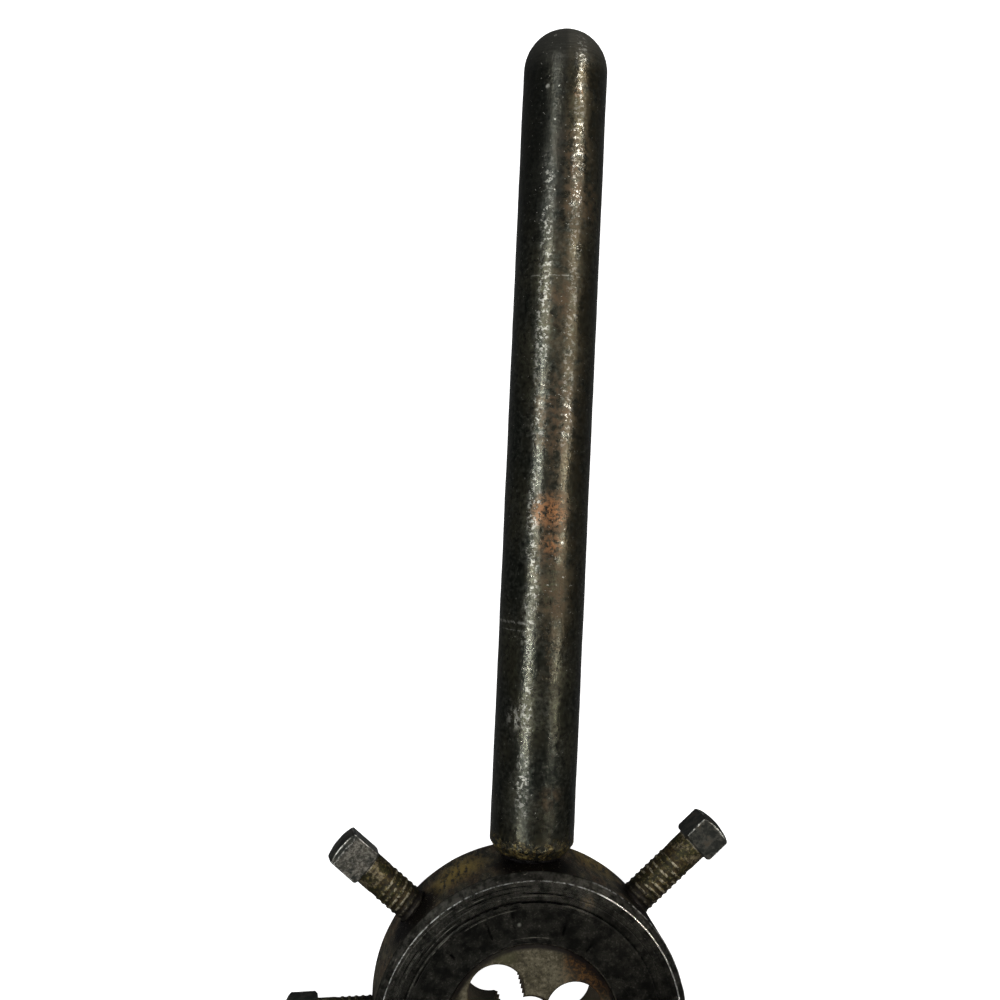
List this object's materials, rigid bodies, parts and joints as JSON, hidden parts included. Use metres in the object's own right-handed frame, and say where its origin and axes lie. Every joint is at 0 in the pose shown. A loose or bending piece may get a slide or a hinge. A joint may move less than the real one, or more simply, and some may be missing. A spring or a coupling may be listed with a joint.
{
  "type": "round die stock with die",
  "caption": "Hand tool for cutting outside threads: a steel collar with long rod handles holds a round split die with square-head set screws.",
  "frame": {"origin": "on the collar's axis, at its open rear face, which rests on the bench", "axes": "+Z along the collar's axis towards its shoulder face, +Y along the upper handle, +X to the right with the shoulder face towards the viewer"},
  "size_m": [0.0842, 0.3684, 0.0191],
  "materials": {
    "collar_steel": "turned and blackened, worn bright on the rim, with grime on the wall",
    "handle_steel": "blackened and oiled, with rust patches",
    "die_steel": "dull ground steel with rust",
    "screw_steel": "dark steel, with brown rust in the threads"
  },
  "bodies": {
    "stock": {"collar": "collar_steel", "upper_handle": "handle_steel", "lower_handle": "handle_steel"},
    "die": {"round_die": "die_steel"},
    "right_upper_screw": {"right_upper_screw": "screw_steel"},
    "left_upper_screw": {"left_upper_screw": "screw_steel"},
    "left_centre_screw": {"left_centre_screw": "screw_steel"},
    "left_lower_screw": {"left_lower_screw": "screw_steel"},
    "right_lower_screw": {"right_lower_screw": "screw_steel"}
  },
  "joints": [
    {"name": "die_lift_out", "type": "slide", "parent": "stock", "child": "die", "axis": [0, 0, -1], "range_m": [0, 0.02]},
    {"name": "right_upper_screw_travel", "type": "slide", "parent": "stock", "child": "right_upper_screw", "axis": [0.7133, 0.7009, 0], "range_m": [-0.005, 0.0019]},
    {"name": "left_upper_screw_travel", "type": "slide", "parent": "stock", "child": "left_upper_screw", "axis": [-0.766, 0.6428, 0], "range_m": [-0.0014, 0.0055]},
    {"name": "left_centre_screw_travel", "type": "slide", "parent": "stock", "child": "left_centre_screw", "axis": [-0.9986, -0.0523, 0], "range_m": [0, 0.0069]},
    {"name": "left_lower_screw_travel", "type": "slide", "parent": "stock", "child": "left_lower_screw", "axis": [-0.6947, -0.7193, 0], "range_m": [-0.002, 0.0049]},
    {"name": "right_lower_screw_travel", "type": "slide", "parent": "stock", "child": "right_lower_screw", "axis": [0.7826, -0.6225, 0], "range_m": [-0.0035, 0.0034]}
  ]
}
